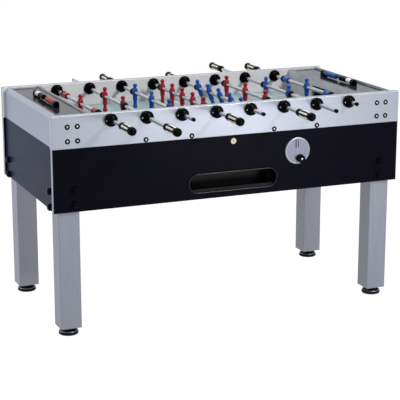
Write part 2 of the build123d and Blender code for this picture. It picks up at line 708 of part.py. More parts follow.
def release_bar():
    """The bar that the pin slides, with the stopper that closes the tray's ball hole."""
    pin_x, pin_low = pin_place(0)
    pin_high = KNOB_Z + LEVER_R
    top = BAR_Z + BAR_HALF
    bar = block(BAR_LEFT, pin_x + BAR_END, HOUSING_BACK, BAR_BACK, BAR_Z - BAR_HALF, top)
    arm = block(BAR_LEFT, BAR_LEFT + ARM_W, HOUSING_BACK, BAR_BACK, BALL_HOLE_Z - ARM_W / 2, top)
    stopper = bar_x(BALL_HOLE_Y, BALL_HOLE_Z, BALL_HOLE_D + STOPPER_OVER, STOPPER_X, BAR_LEFT)
    half = PIN_R + PIN_PLAY
    slot = block(
        pin_x - half, pin_x + half, HOUSING_BACK - PAST, BAR_BACK + PAST,
        pin_low - half, pin_high + half,
    )
    return bar + arm + stopper - slot


def build_coin_release():
    """Ball tray, coin mechanism, its knob and the bar between them."""
    save("ball_tray", ball_tray())
    save("coin_mechanism", coin_mechanism())
    save("coin_knob", coin_knob())
    save("release_bar", release_bar())


def chute(x0, z0, x1, z1):
    """A sloping board whose top face runs from x0, z0 to x1, z1."""
    face = make_face(Polyline([(x0, z0), (x1, z1), (x1, z1 - CHUTE_T), (x0, z0 - CHUTE_T)], close=True))
    return Pos(0, -CHUTE_Y, 0) * extrude(Plane.XZ * face, 2 * CHUTE_Y, dir=(0, 1, 0))


def cabinet_floor():
    """The board that closes the cabinet below, cut out for the legs."""
    floor = block(-END_IN, END_IN, -PANEL_IN, PANEL_IN, CABINET_BOTTOM, CABINET_BOTTOM + FLOOR_T)
    for x in (-LEG_X, LEG_X):
        for y in (-LEG_Y, LEG_Y):
            floor -= Pos(x, y, CABINET_BOTTOM) * Box(LEG_SIZE, LEG_SIZE, 4 * FLOOR_T)
    return floor


def build_inner_boards():
    """The floor, and the boards that let a ball run from both goals to the valley beside the tray."""
    save("floor_and_ball_return", [
        cabinet_floor(),
        chute(-END_IN, CHUTE_HIGH, VALLEY_LEFT, VALLEY_Z),
        chute(VALLEY_RIGHT, VALLEY_Z, END_IN, CHUTE_HIGH),
        block(VALLEY_LEFT, VALLEY_RIGHT, -PANEL_IN, CHUTE_Y, VALLEY_Z - CHUTE_T, VALLEY_Z),
    ])


def build_lock():
    """The cam lock under the front rail, with its cam turned up and clear of the catch."""
    front = -PANEL_OUT - LOCK_FACE
    inside = -PANEL_IN
    barrel_back = inside + LOCK_NUT_T + PAST
    barrel = bar_y(0, LOCK_Z, LOCK_D, front, -PANEL_OUT)
    barrel += bar_y(0, LOCK_Z, LOCK_NECK_D, -PANEL_OUT, barrel_back)
    barrel += bar_y(0, LOCK_Z, LOCK_NUT_D, inside, inside + LOCK_NUT_T)
    save("lock_barrel", barrel - bar_y(0, LOCK_Z, PLUG_D + 2 * FIT, front - PAST, barrel_back + PAST))
    plug = bar_y(0, LOCK_Z, PLUG_D, front - GAP, CAM_BACK)
    plug -= block(
        -KEYWAY_W / 2, KEYWAY_W / 2, front - PLUG_D, -PANEL_OUT + KEYWAY_H,
        LOCK_Z - KEYWAY_H / 2, LOCK_Z + KEYWAY_H / 2,
    )
    cam = block(-CAM_W / 2, CAM_W / 2, CAM_BACK - CAM_T, CAM_BACK, LOCK_Z - CAM_W / 2 - PAST, LOCK_Z + CAM_R)
    save("lock_plug", plug + cam)


def lock_catch():
    """The hooked strap under the field that the lock's cam swings over."""
    front, back = -RAIL_IN, -RAIL_IN + CATCH_W
    strap = CAM_R + BOARD_GAP
    foot_top = LOCK_Z - CAM_W / 2 - GAP
    catch = block(strap, strap + CAM_T, front, back, foot_top - CAM_T, FIELD_BOTTOM)
    catch += block(CATCH_W, strap + CAM_T, front, back, foot_top - CAM_T, foot_top)
    plate = block(strap, strap + CATCH_FOOT, front, front + CATCH_FOOT, FIELD_BOTTOM - CAM_T, FIELD_BOTTOM)
    return catch + plate


def hinge_leaf(x, upper):
    """One leaf of a hinge at the back: the lower leaf has the outer knuckles and the pin."""
    left, right = x - HINGE_L / 2, x + HINGE_L / 2
    knuckle = HINGE_L / 6
    if upper:
        face, free, far = RAIL_OUT, RAIL_BOTTOM + LEAF_FREE, RAIL_BOTTOM + LEAF_H
        spans = [(x - knuckle + GAP, x + knuckle - GAP)]
    else:
        face, free, far = PANEL_OUT, RAIL_BOTTOM - LEAF_FREE, RAIL_BOTTOM - LEAF_H
        spans = [(left, x - knuckle), (x + knuckle, right)]
    leaf = block(left, right, face, face + LEAF_T, *sorted((free, far)))
    for x0, x1 in spans:
        leaf += block(x0, x1, face, HINGE_Y, *sorted((RAIL_BOTTOM, free)))
        leaf += bar_x(HINGE_Y, RAIL_BOTTOM, KNUCKLE_D, x0, x1)
    if upper:
        return leaf - bar_x(HINGE_Y, RAIL_BOTTOM, HINGE_PIN_D + 2 * FIT, left, right)
    return leaf + bar_x(HINGE_Y, RAIL_BOTTOM, HINGE_PIN_D, left, right)


def build_hinges():
    """Two hinges at the back, and the lock's catch under the field."""
    places = (-HINGE_X, HINGE_X)
    save("hinge_lower_leaves", [hinge_leaf(x, False) for x in places])
    save("upper_hinges_and_catch", [hinge_leaf(x, True) for x in places] + [lock_catch()])


def main():
    build_rods()
    build_bearings()
    build_top()
    build_score()
    build_panels()
    build_legs()
    build_coin_release()
    build_inner_boards()
    build_lock()
    build_hinges()


main()
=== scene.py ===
import json
import math

import bmesh
import bpy
from mathutils import Matrix, Vector


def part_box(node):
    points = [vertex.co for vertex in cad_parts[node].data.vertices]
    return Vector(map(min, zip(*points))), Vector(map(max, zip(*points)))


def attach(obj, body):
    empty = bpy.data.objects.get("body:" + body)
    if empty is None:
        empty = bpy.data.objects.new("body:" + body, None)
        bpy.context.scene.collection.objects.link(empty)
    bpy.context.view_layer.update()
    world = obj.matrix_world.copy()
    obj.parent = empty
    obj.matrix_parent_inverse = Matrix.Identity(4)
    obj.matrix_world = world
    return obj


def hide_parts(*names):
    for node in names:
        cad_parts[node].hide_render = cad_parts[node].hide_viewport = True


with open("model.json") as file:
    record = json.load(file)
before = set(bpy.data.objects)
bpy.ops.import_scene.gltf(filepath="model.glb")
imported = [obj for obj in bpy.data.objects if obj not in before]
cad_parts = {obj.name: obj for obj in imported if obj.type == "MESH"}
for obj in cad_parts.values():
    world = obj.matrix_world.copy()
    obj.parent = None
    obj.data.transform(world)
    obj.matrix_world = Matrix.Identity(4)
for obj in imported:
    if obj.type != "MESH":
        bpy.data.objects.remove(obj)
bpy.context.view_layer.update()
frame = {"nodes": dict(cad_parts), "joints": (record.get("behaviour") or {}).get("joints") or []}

bl_info = {
    "name": "Foosball table",
    "version": (1, 0, 0),
    "blender": (4, 5, 0),
    "location": "View3D > Sidebar > Foosball",
    "description": "Dresses the packed foosball table with its players, grips, trim and materials",
    "category": "Object",
}

NODES = frame["nodes"]
MATERIALS = {}
MM = 0.001
ROD_COUNT = 8
# Room for telling which face of a board a point lies on
SKIN = 0.5 * MM
TOUCH = 0.1 * MM


# Sizes and colours that a user may change in the sidebar

def length(name, description, millimetres):
    return bpy.props.FloatProperty(
        name=name, description=description, default=millimetres * MM, min=0.0, unit="LENGTH"
    )


def colour(name, description, code):
    return bpy.props.FloatVectorProperty(
        name=name, description=description, default=linear(code), size=3, min=0.0, max=1.0, subtype="COLOR"
    )


def linear(code):
    """The linear colour of an sRGB hex code."""
    parts = [int(code[i:i + 2], 16) / 255 for i in (1, 3, 5)]
    return tuple(c / 12.92 if c <= 0.04045 else ((c + 0.055) / 1.055) ** 2.4 for c in parts)


class FoosballSizes(bpy.types.PropertyGroup):
    screw_d: length("Screw cup", "Diameter of the cup washers on the rails", 21.5)
    screw_head_d: length("Screw head", "Diameter of the screw heads on the rails", 8.6)
    strip_t: length("Strip thickness", "How far the edge strips stand off the panel ends", 1.2)
    inlay_w: length("Inlay", "Width of a grip's inlay", 7.6)
    end_chamfer: length("End chamfer", "Chamfer along the outer top edge of the end rails", 16)
    line_w: length("Field line", "Width of the lines on the field", 5)
    foot_ring_d: length("Foot ring", "Diameter of the steel ring on a levelling foot", 76)


class FoosballColours(bpy.types.PropertyGroup):
    silver: colour("Silver", "Long rails", "#9397a2")
    # Painted shade: the end rails and edge strips take the rail silver toned darker for the light at the ends
    shaded_end_silver: colour("End silver", "End rails and edge strips", "#888da0")
    black: colour("Black", "Long cabinet panels", "#07060e")
    blue_grey: colour("Blue grey", "End panels", "#1a2038")
    leg: colour("Leg", "Powder coat on the legs", "#828590")
    deck: colour("Deck", "End decks", "#1e212c")
    field: colour("Field", "Playing surface", "#7f9698")
    wall: colour("Wall", "End walls of the field", "#c4c2c3")
    red: colour("Red team", "Red players", "#8c111b")
    blue: colour("Blue team", "Blue players", "#0a4391")
    cream: colour("Inlay", "Grip inlays", "#d4d0c5")


def sizes():
    return bpy.context.scene.foosball_sizes


def colours():
    return bpy.context.scene.foosball_colours


# Mesh helpers: every piece is made in place, in metres

def finish_mesh(name, bm, materials, smooth=40):
    """Turn a bmesh into a shaded object."""
    bmesh.ops.recalc_face_normals(bm, faces=bm.faces)
    mesh = bpy.data.meshes.new(name)
    bm.to_mesh(mesh)
    bm.free()
    for material in materials:
        mesh.materials.append(material)
    mesh.shade_smooth()
    mesh.set_sharp_from_angle(angle=math.radians(smooth))
    obj = bpy.data.objects.new(name, mesh)
    bpy.context.scene.collection.objects.link(obj)
    return obj


def bake(obj):
    """Replace an object's mesh by what its modifiers make of it, and drop the modifiers."""
    graph = bpy.context.evaluated_depsgraph_get()
    mesh = bpy.data.meshes.new_from_object(obj.evaluated_get(graph))
    obj.modifiers.clear()
    obj.data = mesh


def join_rings(bm, rings, capped=True):
    """Skin a list of vertex rings, and cap both ends unless they meet."""
    count = len(rings[0])
    for low, high in zip(rings, rings[1:]):
        for i in range(count):
            k = (i + 1) % count
            bm.faces.new((low[i], low[k], high[k], high[i]))
    if capped:
        bm.faces.new(reversed(rings[0]))
        bm.faces.new(rings[-1])


def oval(bm, z, half_x, half_y, power=2.3, count=20):
    """A rounded-square ring of vertices at height z, in millimetres."""
    ring = []
    for i in range(count):
        a = 2 * math.pi * i / count
        c, s = math.cos(a), math.sin(a)
        x = math.copysign(abs(c) ** (2 / power), c) * half_x
        y = math.copysign(abs(s) ** (2 / power), s) * half_y
        ring.append(bm.verts.new((x * MM, y * MM, z * MM)))
    return ring


def turned_rings(bm, profile, place, count):
    """A ring of vertices for each (radius, height) point in millimetres, turned about Z and put in place."""
    rings = []
    for radius, height in profile:
        ring = []
        for i in range(count):
            a = 2 * math.pi * i / count
            point = Vector((radius * math.cos(a), radius * math.sin(a), height)) * MM
            ring.append(bm.verts.new(place @ point))
        rings.append(ring)
    return rings


def lathe(bm, profile, place, count):
    """Turn a (radius, height) profile about Z into a solid."""
    join_rings(bm, turned_rings(bm, profile, place, count))


def lathe_ring(bm, profile, place, count):
    """Turn a closed (radius, height) outline about Z into a ring."""
    rings = turned_rings(bm, profile, place, count)
    join_rings(bm, rings + rings[:1], capped=False)


def slab(bm, low, high, bevel):
    """A board between two corners with rounded edges."""
    low, high = Vector(low), Vector(high)
    new = bmesh.ops.create_cube(bm, size=1.0)["verts"]
    for vert in new:
        vert.co = Vector([low[i] if vert.co[i] < 0 else high[i] for i in range(3)])
    edges = list({edge for vert in new for edge in vert.link_edges})
    bmesh.ops.bevel(bm, geom=edges, offset=bevel, segments=3, profile=0.5, affect="EDGES")


def ride(obj, body):
    """Fix a piece to a body."""
    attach(obj, body)


def facing(point, direction):
    """Put something that was turned about Z at a point, with its Z along a direction."""
    return Matrix.Translation(Vector(point)) @ Vector(direction).to_track_quat("Z", "Y").to_matrix().to_4x4()


def scatter(name, points, master_bm, key, body):
    """Copy a small mesh to every point with Geometry Nodes, then keep it as plain mesh."""
    master = finish_mesh(f"{name}_master", master_bm, [MATERIALS[key]])
    mesh = bpy.data.meshes.new(name)
    mesh.from_pydata(points, [], [])
    obj = bpy.data.objects.new(name, mesh)
    bpy.context.scene.collection.objects.link(obj)
    group = bpy.data.node_groups.new(f"{name}_nodes", "GeometryNodeTree")
    group.interface.new_socket("Geometry", in_out="INPUT", socket_type="NodeSocketGeometry")
    piece = group.interface.new_socket("Piece", in_out="INPUT", socket_type="NodeSocketObject")
    scale = group.interface.new_socket("Scale", in_out="INPUT", socket_type="NodeSocketFloat")
    group.interface.new_socket("Geometry", in_out="OUTPUT", socket_type="NodeSocketGeometry")
    entry = add(group, "NodeGroupInput").outputs
    info = add(group, "GeometryNodeObjectInfo", {"Object": entry["Piece"]})
    copies = add(group, "GeometryNodeInstanceOnPoints", {
        "Points": entry["Geometry"], "Instance": info.outputs["Geometry"], "Scale": entry["Scale"],
    })
    real = add(group, "GeometryNodeRealizeInstances", {"Geometry": copies})
    painted = add(group, "GeometryNodeSetMaterial", {"Geometry": real, "Material": MATERIALS[key]})
    add(group, "NodeGroupOutput", {"Geometry": painted})
    modifier = obj.modifiers.new("Scatter", "NODES")
    modifier.node_group = group
    modifier[piece.identifier] = master
    modifier[scale.identifier] = 1.0
    obj.update_tag()
    bake(obj)
    bpy.data.objects.remove(master)
    ride(obj, body)


# What the CAD nodes tell: bolt heads, rods and the solids on a rod

def heads_beyond(obj, axis, face, side):
    """The middles of the bolt heads that stand out of a panel's face, a little off the face."""
    head_width, head_proud = 45 * MM, 5.5 * MM
    groups = []
    for vert in obj.data.vertices:
        if (vert.co[axis] - face) * side < SKIN:
            continue
        near = [group for group in groups if (group[0] - vert.co).length < head_width]
        if near:
            near[0].append(vert.co.copy())
        else:
            groups.append([vert.co.copy()])
    points = []
    for group in groups:
        middle = [(min(co[i] for co in group) + max(co[i] for co in group)) / 2 for i in range(3)]
        middle[axis] = face + side * head_proud
        points.append(middle)
    return points


def rods():
    """Each rod's number, team and body name."""
    for number in range(1, ROD_COUNT + 1):
        team = "red" if f"rod_{number}_red_men" in NODES else "blue"
        yield number, team, f"rod_{number}"


def rod_axis(number):
    """X and Z of a rod's axis, from its tube."""
    low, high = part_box(f"rod_{number}_tube")
    return (low[0] + high[0]) / 2, (low[2] + high[2]) / 2


def solid_spans(obj):
    """The Y spans of the separate solids in a CAD node, in metres, from one end to the other."""
    bm = bmesh.new()
    bm.from_mesh(obj.data)
    bm.verts.ensure_lookup_table()
    spans, seen = [], set()
    for vert in bm.verts:
        if vert.index in seen:
            continue
        stack, ys = [vert], []
        seen.add(vert.index)
        while stack:
            here = stack.pop()
            ys.append(here.co.y)
            for edge in here.link_edges:
                other = edge.other_vert(here)
                if other.index not in seen:
                    seen.add(other.index)
                    stack.append(other)
        spans.append((min(ys), max(ys)))
    bm.free()
    merged = []
    for low, high in sorted(spans):
        if merged and low < merged[-1][1] + TOUCH:
            merged[-1] = (merged[-1][0], max(high, merged[-1][1]))
        else:
            merged.append((low, high))
    return merged


def paint(nodes, key):
    """Give CAD nodes a material."""
    for name in nodes:
        for slot in NODES[name].material_slots:
            slot.material = MATERIALS[key]


# Material helpers

def add(tree, kind, inputs=(), **settings):
    """Add a node. Inputs go by name or in order, and take a value, a socket or a node's first output."""
    node = tree.nodes.new(kind)
    for name, value in settings.items():
        setattr(node, name, value)
    for key, value in inputs.items() if isinstance(inputs, dict) else enumerate(inputs):
        if isinstance(value, bpy.types.Node):
            value = value.outputs[0]
        if isinstance(value, bpy.types.NodeSocket):
            tree.links.new(value, node.inputs[key])
        else:
            node.inputs[key].default_value = value
    return node


def start(name):
    """A new material, its empty tree and its object coordinates in metres."""
    material = bpy.data.materials.new(name)
    material.use_nodes = True
    tree = material.node_tree
    tree.nodes.clear()
    return material, tree, add(tree, "ShaderNodeTexCoord").outputs["Object"]


def grain(tree, place, size_mm, detail=3.0, roughness=0.55):
    """A pattern whose grain has the given size in millimetres along X, Y and Z."""
    scaled = add(tree, "ShaderNodeMapping", {"Vector": place, "Scale": [1000 / mm for mm in size_mm]})
    noise = add(tree, "ShaderNodeTexNoise", {
        "Vector": scaled, "Scale": 1.0, "Detail": detail, "Roughness": roughness,
    })
    return noise.outputs["Fac"]


def tone(rgb, factor):
    """A lighter or darker tone of a colour."""
    return tuple(min(1.0, c * factor) for c in rgb)


def drift(tree, pattern, low, high):
    """A colour that drifts between two tones with a pattern."""
    part = add(tree, "ShaderNodeMapRange", {"Value": pattern, "From Min": 0.3, "From Max": 0.7})
    mix = add(tree, "ShaderNodeMix", {"Factor": part, "A": (*low, 1), "B": (*high, 1)}, data_type="RGBA")
    return mix.outputs["Result"]


def surface(material, base, gloss, relief, others=None):
    """Finish a material: roughness as (pattern, least, most), relief as (pattern, depth in mm, strength)."""
    tree = material.node_tree
    if isinstance(gloss, tuple):
        pattern, least, most = gloss
        gloss = add(tree, "ShaderNodeMapRange", {"Value": pattern, "To Min": least, "To Max": most})
    pattern, depth, strength = relief
    bump = add(tree, "ShaderNodeBump", {"Height": pattern, "Distance": depth * MM, "Strength": strength})
    shader = add(tree, "ShaderNodeBsdfPrincipled", {
        "Base Color": base, "Roughness": gloss, "Normal": bump, **(others or {}),
    })
    add(tree, "ShaderNodeOutputMaterial", {"Surface": shader})
    return material


def background_rays(tree):
    """1 where the camera, a mirror or glass sees the background, and 0 where it only gives light."""
    path = add(tree, "ShaderNodeLightPath").outputs
    seen = add(tree, "ShaderNodeMath", (path["Is Camera Ray"], path["Is Glossy Ray"]), operation="MAXIMUM")
    return add(tree, "ShaderNodeMath", (seen, path["Is Transmission Ray"]), operation="MAXIMUM")


# Materials, each with the look that its making gives it

def silver_laminate(name, base, pale_inside=None):
    """Silver foil on board: fine lines along the rail, a satin sheen, and pale laminate on the field side."""
    material, tree, place = start(name)
    # Such lines are about 0.2 mm wide, and drawn at 0.8 mm so that they show
    lines = grain(tree, place, (90, 0.8, 0.8), 4.0)
    cloud = grain(tree, place, (180, 90, 90), 2.0)
    foil = drift(tree, lines, tone(base, 0.94), tone(base, 1.05))
    metallic = 0.75
    if pale_inside is not None:
        across = add(tree, "ShaderNodeSeparateXYZ", (place,)).outputs[1]
        distance = add(tree, "ShaderNodeMath", (across,), operation="ABSOLUTE")
        outside = add(tree, "ShaderNodeMath", (distance, pale_inside), operation="GREATER_THAN")
        pale = drift(tree, cloud, tone(colours().wall, 0.95), tone(colours().wall, 1.05))
        sides = add(tree, "ShaderNodeMix", {"Factor": outside, "A": pale, "B": foil}, data_type="RGBA")
        foil = sides.outputs["Result"]
        metallic = add(tree, "ShaderNodeMath", (outside, metallic), operation="MULTIPLY")
    return surface(material, foil, (cloud, 0.33, 0.40), (lines, 0.03, 0.1), {"Metallic": metallic})


def board_laminate(name, base, gloss, ior, capped=None):
    """Smooth laminate on board: a faint orange peel and cloudy gloss, and another colour above a height."""
    material, tree, place = start(name)
    peel = grain(tree, place, (1.6, 1.6, 1.6), 2.0)
    cloud = grain(tree, place, (220, 160, 120), 3.0)
    face = drift(tree, cloud, tone(base, 0.9), tone(base, 1.1))
    if capped is not None:
        height, cap = capped
        up = add(tree, "ShaderNodeSeparateXYZ", (place,)).outputs[2]
        above = add(tree, "ShaderNodeMath", (up, height), operation="GREATER_THAN")
        top = drift(tree, cloud, tone(cap, 0.9), tone(cap, 1.1))
        mix = add(tree, "ShaderNodeMix", {"Factor": above, "A": face, "B": top}, data_type="RGBA")
        face = mix.outputs["Result"]
    return surface(
        material, face, (cloud, gloss - 0.05, gloss + 0.06), (peel, 0.03, 0.2),
        {"IOR": ior, "Specular Tint": (0.84, 0.91, 1.0, 1.0)},
    )


def powder_coat():
    """Silver powder coat on steel: a fine pebbled skin and faint streaks down the tube."""
    material, tree, place = start("silver_powder_coat")
    # Powder pebbles are about 0.5 mm wide, and drawn at 1.1 mm so that they show
    pebble = grain(tree, place, (1.1, 1.1, 1.1), 3.0)
    streak = grain(tree, place, (7, 7, 260), 3.0)
    base = colours().leg
    coat = drift(tree, streak, tone(base, 0.965), tone(base, 1.04))
    return surface(
        material, coat, (pebble, 0.32, 0.44), (pebble, 0.06, 0.3), {"Metallic": 0.55, "IOR": 1.15}
    )


def moulded_plastic(name, base, gloss, grain_mm=0.8, ior=1.45):
    """Injection-moulded plastic: a spark-eroded grain under a soft gloss, with slight colour drift."""
    material, tree, place = start(name)
    # A mould's grain is about 0.1 mm wide, and drawn at 0.8 mm or more so that it shows
    spark = grain(tree, place, (grain_mm, grain_mm, grain_mm), 2.0)
    dye = drift(tree, grain(tree, place, (25, 25, 25), 2.0), tone(base, 0.85), tone(base, 1.15))
    return surface(material, dye, (spark, gloss - 0.05, gloss + 0.08), (spark, 0.04, 0.25), {"IOR": ior})


def player_plastic(name, base):
    """Glossy dyed plastic of the players: deep colour, soft light inside and worn dull spots."""
    material, tree, place = start(name)
    worn = grain(tree, place, (6, 6, 9), 4.0)
    dye = drift(tree, worn, tone(base, 0.86), tone(base, 1.15))
    return surface(material, dye, (worn, 0.24, 0.44), (worn, 0.05, 0.15), {
        "Subsurface Weight": 0.08, "Subsurface Radius": (0.004, 0.002, 0.002), "IOR": 1.25,
        "Coat Weight": 0.05, "Coat Roughness": 0.15,
    })


def rubber():
    """Black rubber: matt, a little grey where it has dried out."""
    material, tree, place = start("black_rubber")
    dust = grain(tree, place, (4, 4, 4), 5.0)
    black = drift(tree, dust, (0.002, 0.002, 0.0025), (0.007, 0.007, 0.008))
    return surface(material, black, (dust, 0.5, 0.75), (dust, 0.08, 0.3), {"IOR": 1.2})


def metal(name, base, gloss, grain_mm):
    """Bare or plated metal with the fine lines that polishing leaves."""
    material, tree, place = start(name)
    # Polishing lines are far under 0.1 mm wide, and drawn at 0.8 mm or more so that they show
    lines = grain(tree, place, grain_mm, 4.0)
    plate = drift(tree, lines, tone(base, 0.9), tone(base, 1.05))
    return surface(material, plate, (lines, gloss * 0.7, gloss * 1.4), (lines, 0.02, 0.2), {"Metallic": 1.0})


def wood_chips(tree, place):
    """The colour and height of pressed wood chips."""
    chips = grain(tree, place, (9, 5, 4), 5.0, 0.7)
    return drift(tree, chips, linear("#6f5636"), linear("#b89668")), chips


def raw_board():
    """Pressed wood board inside the cabinet: pale chips in a brown ground."""
    material, tree, place = start("raw_wood_board")
    chip_colour, chips = wood_chips(tree, place)
    return surface(material, chip_colour, 0.75, (chips, 0.2, 0.4))


def field_laminate():
    """Pale green field under a satin sheet with printed pitch lines, on raw board."""
    # Depth from the goal line and half width of the two goal boxes, and radius of the ring, in metres
    goal_boxes = ((0.225, 0.22), (0.10, 0.14))
    middle_ring = 0.10
    material, tree, place = start("green_field_laminate")
    axes = add(tree, "ShaderNodeSeparateXYZ", (place,)).outputs
    x, y = [add(tree, "ShaderNodeMath", (axes[i],), operation="ABSOLUTE") for i in (0, 1)]
    squares = [add(tree, "ShaderNodeMath", (value, value), operation="MULTIPLY") for value in (x, y)]
    total = add(tree, "ShaderNodeMath", squares, operation="ADD")
    radius = add(tree, "ShaderNodeMath", (total,), operation="SQRT")
    half_line = sizes().line_w / 2
    goal_line, _, field_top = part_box("playfield")[1]

    def line(value, at):
        """1 on a printed line, where a value is near the line's place."""
        return add(tree, "ShaderNodeMath", (value, at, half_line), operation="COMPARE")

    def cut(stroke, value, operation, limit):
        """Keep the part of a line where a value is under or over a limit."""
        kept = add(tree, "ShaderNodeMath", (value, limit), operation=operation)
        return add(tree, "ShaderNodeMath", (stroke, kept), operation="MULTIPLY")

    strokes = [line(radius, middle_ring)]
    for depth, half in goal_boxes:
        edge = goal_line - depth
        strokes.append(cut(line(x, edge), y, "LESS_THAN", half + half_line))
        strokes.append(cut(line(y, half), x, "GREATER_THAN", edge))
    lines = line(x, 0.0)
    for stroke in strokes:
        lines = add(tree, "ShaderNodeMath", (lines, stroke), operation="MAXIMUM")
    cloud = grain(tree, place, (120, 120, 120), 4.0)
    ground = drift(tree, cloud, tone(colours().field, 0.93), tone(colours().field, 1.07))
    white = (*linear("#eef1ec"), 1)
    printed = add(tree, "ShaderNodeMix", {"Factor": lines, "A": ground, "B": white}, data_type="RGBA")
    on_top = add(tree, "ShaderNodeMath", (axes[2], field_top - SKIN), operation="GREATER_THAN")
    face = add(tree, "ShaderNodeMix", {
        "Factor": on_top, "A": wood_chips(tree, place)[0], "B": printed.outputs["Result"],
    }, data_type="RGBA")
    # The sheet's grain is about 0.3 mm wide, and drawn at 0.9 mm so that it shows
    sheet = grain(tree, place, (0.9, 0.9, 0.9))
    return surface(material, face.outputs["Result"], (cloud, 0.28, 0.4), (sheet, 0.02, 0.2))


def make_materials():
    """Every material once, by a short key."""
    c = colours()
    field_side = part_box("playfield")[1][1] + SKIN
    wall_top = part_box("end_walls")[1][2] - SKIN
    return {
        # Painted shade: the end rails and edge strips in the rail silver toned darker
        "silver": silver_laminate("silver_laminate", c.shaded_end_silver),
        # Painted highlight: a paler silver on the end rails' top chamfers
        "painted_highlight_foil": silver_laminate("pale_silver_painted_highlight", linear("#a1a6b5")),
        "rail": silver_laminate("silver_rail_laminate", c.silver, field_side),
        "black_board": board_laminate("black_laminate", c.black, 0.30, 1.10),
        "end_board": board_laminate("blue_grey_gloss_laminate", c.blue_grey, 0.30, 1.08),
        "wall": board_laminate("pale_gloss_laminate", c.wall, 0.24, 1.4, (wall_top, c.deck)),
        "deck": board_laminate("grey_gloss_deck", c.deck, 0.08, 1.135),
        # Painted light: pale grey on the end rails' inner faces, lifting the shade that falls beside the deck
        "painted_light_face": moulded_plastic("pale_grey_painted_light", linear("#b2b6c2"), 0.6, 0.8, 1.1),
        "field": field_laminate(),
        "leg": powder_coat(),
        "black": moulded_plastic("black_moulded_plastic", linear("#030304"), 0.15, 0.8, 1.1),
        "tray": moulded_plastic("black_tray_plastic", linear("#06060a"), 0.30, 1.4, 1.2),
        "tray_rim": moulded_plastic("black_gloss_plastic", linear("#07070b"), 0.22, 0.8, 1.32),
        "white": moulded_plastic("white_plastic", linear("#dcdcd6"), 0.3),
        "cream": moulded_plastic("cream_inlay_plastic", c.cream, 0.34),
        "red": player_plastic("red_player_plastic", c.red),
        "blue": player_plastic("blue_player_plastic", c.blue),
        "rubber": rubber(),
        "chrome": metal("polished_chrome", linear("#b2b5bd"), 0.14, (0.8, 60, 0.8)),
        "nickel": metal("satin_nickel", linear("#a39a86"), 0.42, (1.2, 1.2, 25)),
        "coin_steel": metal("brushed_coin_steel", linear("#6c707d"), 0.34, (14, 1.0, 1.0)),
        "zinc": metal("zinc_plated_steel", linear("#a9adb3"), 0.32, (3, 3, 3)),
        "raw": raw_board(),
        "dark_steel": metal("black_oxide_steel", linear("#2a2a2e"), 0.4, (2, 2, 2)),
    }


# The pieces; a PROFILE is a list of (radius, height) points in millimetres

class FoosballOperator:
    bl_options = {"REGISTER", "UNDO"}


class FOOSBALL_OT_cabinet(FoosballOperator, bpy.types.Operator):
    """Panels, legs and feet, with the edge strips, foot rings and bolt caps"""
    bl_idname = "foosball.cabinet"
    bl_label = "Cabinet"

    CAP_PROFILE = [(14.2, 0.1), (14.6, 3.0), (13.4, 5.4), (9.6, 7.4), (9.0, 9.2), (6.4, 10.2), (0.01, 10.4)]

    def execute(self, context):
        paint(("front_panel", "rear_panel"), "black_board")
        paint(("end_panels",), "end_board")
        paint(("floor_and_ball_return",), "raw")
        paint(("legs",), "leg")
        paint(("leg_bolts",), "black")
        paint(("hinge_lower_leaves",), "zinc")
        self.edge_strips()
        self.foot_rings()
        self.bolt_caps()
        return {"FINISHED"}

    def edge_strips(self):
        """Silver strips over the upright ends of both long panels."""
        side_inset, end_inset, edge_r = 0.2 * MM, 1 * MM, 0.4 * MM
        out = sizes().strip_t
        bm = bmesh.new()
        for panel in ("front_panel", "rear_panel"):
            low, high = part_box(panel)
            for x0, x1 in ((low[0] - out, low[0] - TOUCH), (high[0] + TOUCH, high[0] + out)):
                near = (x0, low[1] + side_inset, low[2] + end_inset)
                far = (x1, high[1] - side_inset, high[2] - end_inset)
                slab(bm, near, far, edge_r)
        # The strips take the darker-toned silver, painted shade
        ride(finish_mesh("panel_edge_strips", bm, [MATERIALS["silver"]]), "cabinet")

    def foot_rings(self):
        """A steel ring on top of each levelling foot's pad."""
        outer = sizes().foot_ring_d / 2 / MM
        profile = [
            (outer - 5, 14.6), (outer, 12.4), (outer + 0.6, 13.4), (outer - 0.4, 15.2), (outer - 3, 16.6),
            (outer - 5, 16.4),
        ]
        for corner in ("front_left", "front_right", "rear_left", "rear_right"):
            name = f"{corner}_foot"
            paint((name,), "rubber")
            low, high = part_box(name)
            centre = ((low[0] + high[0]) / 2, (low[1] + high[1]) / 2, low[2])
            bm = bmesh.new()
            lathe_ring(bm, profile, Matrix.Translation(centre), count=40)
            ride(finish_mesh(f"{corner}_foot_ring", bm, [MATERIALS["coin_steel"]]), name)

    def bolt_caps(self):
        """Domed plastic caps over the heads of the leg bolts."""
        front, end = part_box("front_panel"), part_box("end_panels")
        faces = {
            "front": (1, front[0][1], -1), "rear": (1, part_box("rear_panel")[1][1], 1),
            "left": (0, end[0][0], -1), "right": (0, end[1][0], 1),
        }
        for where, (axis, face, side) in faces.items():
            out = [0, 0, 0]
            out[axis] = side
            bm = bmesh.new()
            lathe(bm, self.CAP_PROFILE, facing((0, 0, 0), out), count=28)
            points = heads_beyond(NODES["leg_bolts"], axis, face, side)
            scatter(f"{where}_bolt_caps", points, bm, "black", "cabinet")


